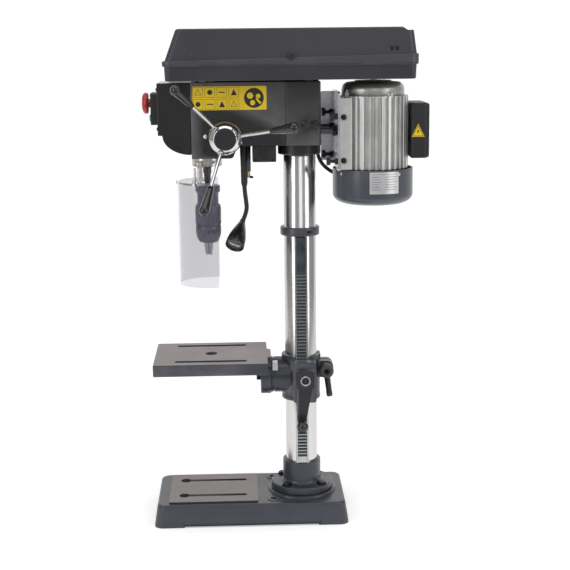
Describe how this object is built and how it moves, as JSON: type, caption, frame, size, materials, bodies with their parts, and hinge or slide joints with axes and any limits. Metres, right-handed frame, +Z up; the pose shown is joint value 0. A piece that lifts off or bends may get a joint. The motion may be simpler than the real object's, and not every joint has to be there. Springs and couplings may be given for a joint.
{
  "type": "bench drill press",
  "caption": "Bench drill press with a belt cover, three feed handles, a clear chuck guard, a work lamp, a round column and a tilting slotted table.",
  "frame": {"origin": "centre of the overall box in plan, on the bench plane", "axes": "+X from the chuck towards the motor, +Y away from the feed handles, +Z up"},
  "size_m": [0.521, 0.2878, 0.918],
  "materials": {
    "black_paint": "black casting enamel",
    "black_plastic": "fine grain",
    "blue_paint": "dark blue-grey enamel",
    "brass": "turned",
    "bright_steel": "ground and polished",
    "bronze_ring": "brown-gold, engraved scale",
    "cast_aluminium": "bare casting",
    "chrome": "polished",
    "clear_plastic": "clear",
    "cover_paint": "charcoal powder coat",
    "dark_steel": "dark, slightly oiled",
    "gloss_black": "smooth",
    "green_plastic": "smooth",
    "ground_iron": "ground top, painted sides",
    "red_plastic": "smooth",
    "rubber": "matt",
    "zinc_plate": "bright zinc"
  },
  "bodies": {
    "frame": {"base": "blue_paint", "column_flange": "blue_paint", "column": "bright_steel", "head": "black_paint", "switch_housing": "gloss_black", "switch_box": "black_plastic", "belt_tray": "cover_paint", "rack_ring": "blue_paint", "return_spring_cap": "black_paint", "lamp_sleeve": "black_plastic", "lamp_neck": "black_plastic", "lamp_shade": "gloss_black", "power_box": "black_plastic", "clamp_stem": "dark_steel", "idler_post": "dark_steel", "front_belt": "rubber", "rear_belt": "rubber", "mains_gland": "rubber"},
    "stop_button": {"stop_button": "red_plastic"},
    "start_button": {"start_button": "green_plastic"},
    "lid": {"belt_cover_lid": "cover_paint"},
    "feed": {"feed_shaft": "dark_steel", "feed_hub": "chrome", "hub_cap": "black_plastic", "feed_rod_1": "chrome", "feed_rod_2": "chrome", "feed_rod_3": "chrome", "feed_grip_1": "gloss_black", "feed_grip_2": "gloss_black", "feed_grip_3": "gloss_black"},
    "depth_ring": {"depth_ring": "bronze_ring"},
    "quill": {"quill": "bright_steel", "guard_collar": "bright_steel"},
    "guard": {"guard_bracket": "bright_steel", "guard_shield": "clear_plastic"},
    "spindle": {"spindle": "dark_steel", "chuck_body": "dark_steel"},
    "chuck_sleeve": {"chuck_sleeve": "dark_steel"},
    "jaw_1": {"chuck_jaw_1": "dark_steel"},
    "jaw_2": {"chuck_jaw_2": "dark_steel"},
    "jaw_3": {"chuck_jaw_3": "dark_steel"},
    "spindle_pulley": {"spindle_pulley": "cast_aluminium"},
    "idler_pulley": {"idler_pulley": "cast_aluminium"},
    "motor_rotor": {"motor_pulley": "cast_aluminium"},
    "rack": {"rack": "dark_steel"},
    "bracket": {"table_bracket": "blue_paint"},
    "table": {"table": "ground_iron"},
    "crank": {"crank": "black_paint", "crank_knob": "gloss_black"},
    "table_lock": {"table_lock": "black_paint"},
    "motor_carriage": {"motor_plate": "zinc_plate", "motor_body": "cast_aluminium", "motor_bell": "black_paint", "fan_cowl": "blue_paint", "terminal_box": "black_plastic", "slide_bar_1": "dark_steel", "slide_bar_2": "dark_steel", "motor_lead": "rubber"},
    "slide_lock": {"slide_lock": "black_plastic"},
    "clamp_lever": {"clamp_lever": "brass"}
  },
  "joints": [
    {"name": "stop_button_press", "type": "slide", "parent": "frame", "child": "stop_button", "axis": [1, 0, 0], "range_m": [0, 0.004], "stiffness_N_per_m": 400},
    {"name": "start_button_press", "type": "slide", "parent": "frame", "child": "start_button", "axis": [1, 0, 0], "range_m": [0, 0.003], "stiffness_N_per_m": 300},
    {"name": "lid_hinge", "type": "hinge", "parent": "frame", "child": "lid", "pos_m": [0.0255, 0.14586, 0.8555], "axis": [-1, 0, 0], "range_deg": [0, 100]},
    {"name": "quill_feed", "type": "slide", "parent": "frame", "child": "quill", "axis": [0, 0, -1], "range_m": [0, 0.06], "stiffness_N_per_m": 300, "springref_m": -0.25},
    {"name": "feed_turn", "type": "hinge", "parent": "frame", "child": "feed", "pos_m": [-0.1095, 0.04086, 0.726], "axis": [0, -1, 0], "range_deg": [0, 230]},
    {"name": "depth_ring_turn", "type": "hinge", "parent": "feed", "child": "depth_ring", "pos_m": [-0.1095, 0.04086, 0.726], "axis": [0, 1, 0], "range_deg": [-150, 150]},
    {"name": "guard_hinge", "type": "hinge", "parent": "quill", "child": "guard", "pos_m": [-0.1585, 0.04086, 0.677], "axis": [0, 1, 0], "range_deg": [0, 60]},
    {"name": "spindle_spin", "type": "hinge", "parent": "quill", "child": "spindle", "pos_m": [-0.1445, 0.04086, 0.6], "axis": [0, 0, 1], "continuous": true},
    {"name": "spindle_pulley_spin", "type": "hinge", "parent": "frame", "child": "spindle_pulley", "pos_m": [-0.1445, 0.04086, 0.85], "axis": [0, 0, 1], "continuous": true},
    {"name": "idler_pulley_spin", "type": "hinge", "parent": "frame", "child": "idler_pulley", "pos_m": [-0.0045, 0.04086, 0.85], "axis": [0, 0, 1], "continuous": true},
    {"name": "motor_pulley_spin", "type": "hinge", "parent": "motor_carriage", "child": "motor_rotor", "pos_m": [0.1615, 0.04086, 0.85], "axis": [0, 0, 1], "continuous": true},
    {"name": "chuck_sleeve_turn", "type": "hinge", "parent": "spindle", "child": "chuck_sleeve", "pos_m": [-0.1445, 0.04086, 0.58], "axis": [0, 0, 1], "range_deg": [0, 350]},
    {"name": "jaw_1_slide", "type": "slide", "parent": "spindle", "child": "jaw_1", "axis": [0, 0.1392, 0.9903], "range_m": [0, 0.0105]},
    {"name": "jaw_2_slide", "type": "slide", "parent": "spindle", "child": "jaw_2", "axis": [-0.1205, -0.0696, 0.9903], "range_m": [0, 0.0105]},
    {"name": "jaw_3_slide", "type": "slide", "parent": "spindle", "child": "jaw_3", "axis": [0.1205, -0.0696, 0.9903], "range_m": [0, 0.0105]},
    {"name": "rack_swing", "type": "hinge", "parent": "frame", "child": "rack", "pos_m": [0.0255, 0.04086, 0.3], "axis": [0, 0, 1], "range_deg": [-180, 180]},
    {"name": "table_height", "type": "slide", "parent": "rack", "child": "bracket", "axis": [0, 0, 1], "range_m": [-0.105, 0.075]},
    {"name": "table_tilt", "type": "hinge", "parent": "bracket", "child": "table", "pos_m": [-0.0315, 0.04086, 0.271], "axis": [1, 0, 0], "range_deg": [-45, 45]},
    {"name": "crank_turn", "type": "hinge", "parent": "bracket", "child": "crank", "pos_m": [0.0295, -0.02214, 0.282], "axis": [0, 1, 0], "continuous": true},
    {"name": "table_lock_turn", "type": "hinge", "parent": "bracket", "child": "table_lock", "pos_m": [0.0725, 0.04086, 0.283], "axis": [0, -1, 0], "range_deg": [-10, 100]},
    {"name": "motor_slide", "type": "slide", "parent": "frame", "child": "motor_carriage", "axis": [1, 0, 0], "range_m": [-0.02, 0]},
    {"name": "slide_lock_turn", "type": "hinge", "parent": "frame", "child": "slide_lock", "pos_m": [0.0375, -0.01314, 0.747], "axis": [0, 1, 0], "range_deg": [-45, 45]},
    {"name": "clamp_lever_turn", "type": "hinge", "parent": "frame", "child": "clamp_lever", "pos_m": [-0.07, 0.03586, 0.65], "axis": [0, 0, 1], "range_deg": [-60, 60]}
  ],
  "couplings": [
    {"joint": "feed_turn", "follows": "quill_feed", "rad_per_m": 64.516},
    {"joint": "spindle_pulley_spin", "follows": "spindle_spin", "ratio": 1},
    {"joint": "idler_pulley_spin", "follows": "spindle_spin", "ratio": 1.2581},
    {"joint": "motor_pulley_spin", "follows": "spindle_spin", "ratio": 1.9626},
    {"joint": "jaw_1_slide", "follows": "chuck_sleeve_turn", "m_per_rad": 0.001637},
    {"joint": "jaw_2_slide", "follows": "chuck_sleeve_turn", "m_per_rad": 0.001637},
    {"joint": "jaw_3_slide", "follows": "chuck_sleeve_turn", "m_per_rad": 0.001637},
    {"joint": "crank_turn", "follows": "table_height", "rad_per_m": 500}
  ]
}
